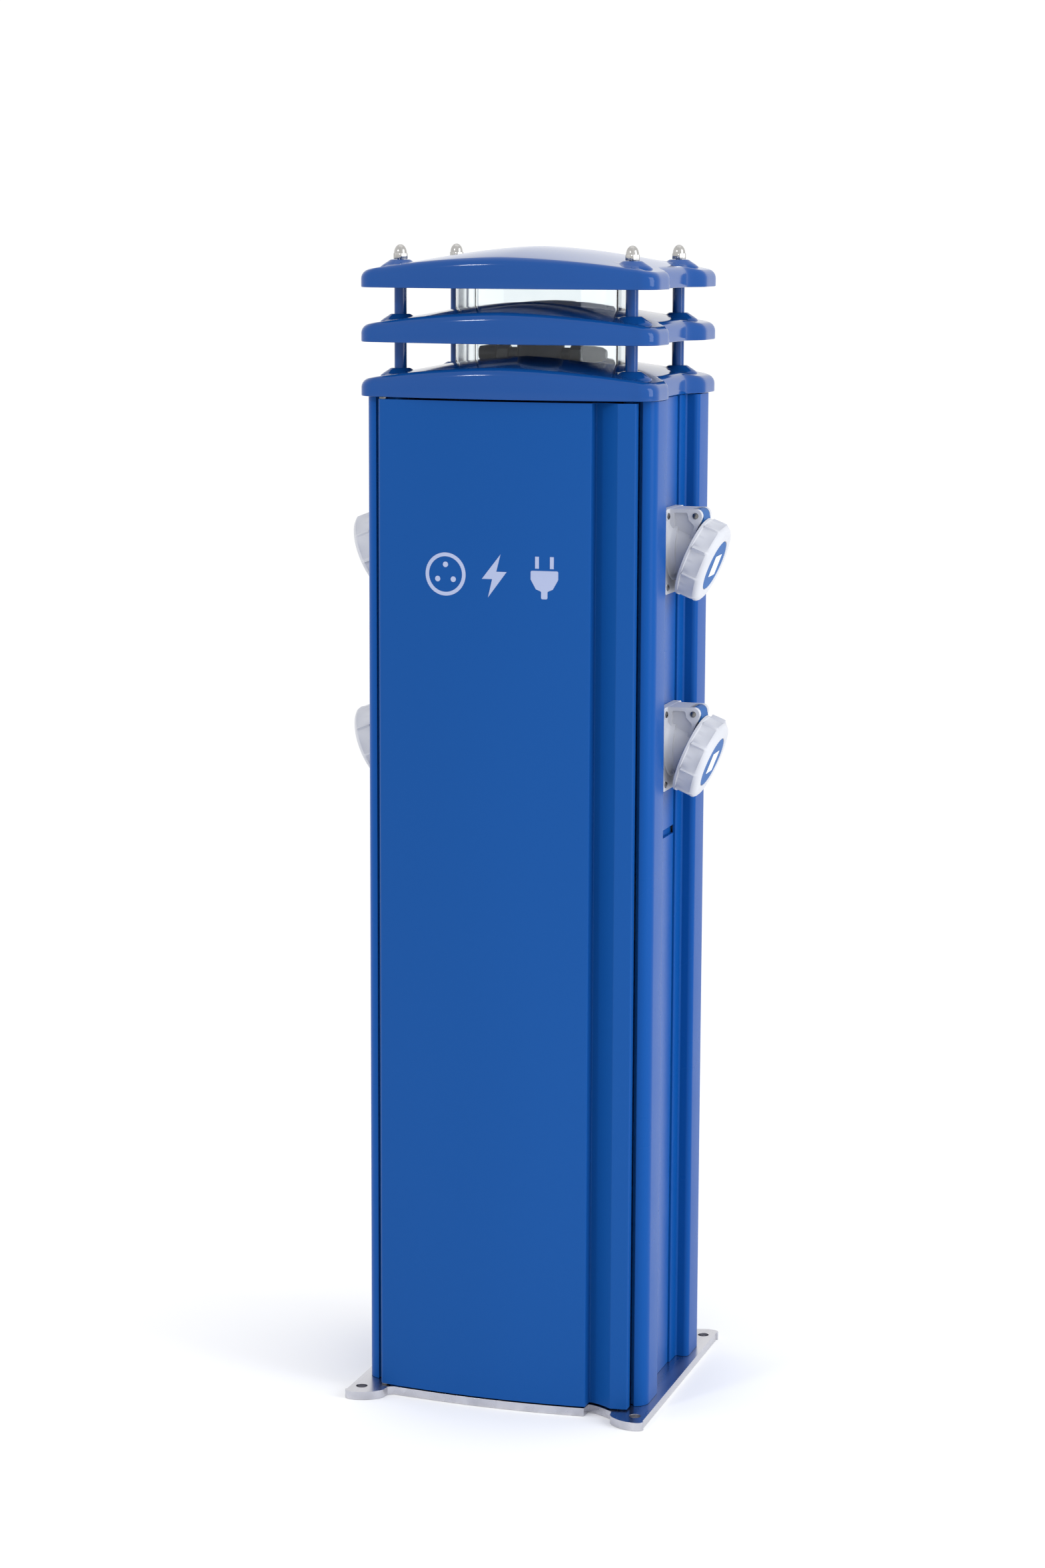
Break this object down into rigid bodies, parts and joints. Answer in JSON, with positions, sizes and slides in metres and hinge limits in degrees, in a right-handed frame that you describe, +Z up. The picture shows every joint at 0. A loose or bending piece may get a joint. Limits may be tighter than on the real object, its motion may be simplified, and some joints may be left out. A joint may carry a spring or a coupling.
{
  "type": "ev charging post",
  "caption": "Bollard-type charging post with a louvred light head, a hinged front door and lidded industrial sockets on both sides.",
  "frame": {"origin": "middle of the floor plate, on its underside", "axes": "+Z up, -Y out through the front door, +X to the right of the door as seen from the front"},
  "size_m": [0.3708, 0.292, 1.1003],
  "materials": {
    "blue_coat": "satin gloss powder coat",
    "blue_gloss": "gloss powder coat",
    "blue_plastic": "moulded, satin",
    "pale_plastic": "moulded, fine satin",
    "dark_plastic": "moulded, matte",
    "white_plastic": "moulded, satin",
    "bare_aluminium": "machined, satin",
    "stainless": "polished",
    "galvanised": "zinc plated",
    "clear": "clear, polished"
  },
  "bodies": {
    "root": {"acorn_nut_front_left": "stainless", "acorn_nut_front_right": "stainless", "acorn_nut_rear_left": "stainless", "acorn_nut_rear_right": "stainless", "base_plate": "bare_aluminium", "blank_panel_left": "blue_coat", "blank_panel_right": "blue_coat", "breaker_left": "white_plastic", "breaker_right": "white_plastic", "column_front_left": "blue_coat", "column_front_right": "blue_coat", "column_rear_left": "blue_coat", "column_rear_right": "blue_coat", "contact_carrier_left_lower": "blue_plastic", "contact_carrier_left_upper": "blue_plastic", "contact_carrier_right_lower": "blue_plastic", "contact_carrier_right_upper": "blue_plastic", "diffuser": "clear", "door_catch": "dark_plastic", "door_pin_lower": "stainless", "door_pin_upper": "stainless", "hat_lower": "blue_gloss", "hat_middle": "blue_gloss", "hat_upper": "blue_gloss", "lamp": "white_plastic", "lamp_holder": "dark_plastic", "lamp_tray": "galvanised", "lid_pin_left_lower": "stainless", "lid_pin_left_upper": "stainless", "lid_pin_right_lower": "stainless", "lid_pin_right_upper": "stainless", "mounting_plate": "galvanised", "mounting_rail": "galvanised", "panel_joint_left": "blue_coat", "panel_joint_right": "blue_coat", "post_front_left": "blue_gloss", "post_front_right": "blue_gloss", "post_rear_left": "blue_gloss", "post_rear_right": "blue_gloss", "rear_cover": "blue_coat", "socket_housing_left_lower": "pale_plastic", "socket_housing_left_upper": "pale_plastic", "socket_housing_right_lower": "pale_plastic", "socket_housing_right_upper": "pale_plastic", "socket_panel_left": "blue_coat", "socket_panel_right": "blue_coat", "terminal_block": "dark_plastic"},
    "door": {"front_door": "blue_coat"},
    "lid_right_upper": {"socket_lid_right_upper": "blue_plastic"},
    "ring_right_upper": {"locking_ring_right_upper": "pale_plastic"},
    "lid_right_lower": {"socket_lid_right_lower": "blue_plastic"},
    "ring_right_lower": {"locking_ring_right_lower": "pale_plastic"},
    "lever_right": {"breaker_lever_right": "dark_plastic"},
    "lid_left_upper": {"socket_lid_left_upper": "blue_plastic"},
    "ring_left_upper": {"locking_ring_left_upper": "pale_plastic"},
    "lid_left_lower": {"socket_lid_left_lower": "blue_plastic"},
    "ring_left_lower": {"locking_ring_left_lower": "pale_plastic"},
    "lever_left": {"breaker_lever_left": "dark_plastic"}
  },
  "joints": [
    {"name": "door_hinge", "type": "hinge", "parent": "root", "child": "door", "pos_m": [-0.1175, -0.1138, 0.4825], "axis": [0, 0, -1], "range_deg": [0, 105]},
    {"name": "lid_hinge_right_upper", "type": "hinge", "parent": "root", "child": "lid_right_upper", "pos_m": [0.15733, 0, 0.85064], "axis": [0, -1, 0], "range_deg": [0, 110]},
    {"name": "ring_turn_right_upper", "type": "hinge", "parent": "lid_right_upper", "child": "ring_right_upper", "pos_m": [0.1715, 0, 0.8035], "axis": [0.9272, 0, -0.3746], "range_deg": [0, 35]},
    {"name": "lid_hinge_right_lower", "type": "hinge", "parent": "root", "child": "lid_right_lower", "pos_m": [0.15733, 0, 0.66364], "axis": [0, -1, 0], "range_deg": [0, 110]},
    {"name": "ring_turn_right_lower", "type": "hinge", "parent": "lid_right_lower", "child": "ring_right_lower", "pos_m": [0.1715, 0, 0.6165], "axis": [0.9272, 0, -0.3746], "range_deg": [0, 35]},
    {"name": "lever_throw_right", "type": "hinge", "parent": "root", "child": "lever_right", "pos_m": [0.0205, -0.0145, 0.42], "axis": [1, 0, 0], "range_deg": [0, 80]},
    {"name": "lid_hinge_left_upper", "type": "hinge", "parent": "root", "child": "lid_left_upper", "pos_m": [-0.15733, 0, 0.85064], "axis": [0, 1, 0], "range_deg": [0, 110]},
    {"name": "ring_turn_left_upper", "type": "hinge", "parent": "lid_left_upper", "child": "ring_left_upper", "pos_m": [-0.1715, 0, 0.8035], "axis": [-0.9272, 0, -0.3746], "range_deg": [0, 35]},
    {"name": "lid_hinge_left_lower", "type": "hinge", "parent": "root", "child": "lid_left_lower", "pos_m": [-0.15733, 0, 0.66364], "axis": [0, 1, 0], "range_deg": [0, 110]},
    {"name": "ring_turn_left_lower", "type": "hinge", "parent": "lid_left_lower", "child": "ring_left_lower", "pos_m": [-0.1715, 0, 0.6165], "axis": [-0.9272, 0, -0.3746], "range_deg": [0, 35]},
    {"name": "lever_throw_left", "type": "hinge", "parent": "root", "child": "lever_left", "pos_m": [-0.0205, -0.0145, 0.42], "axis": [1, 0, 0], "range_deg": [0, 80]}
  ]
}
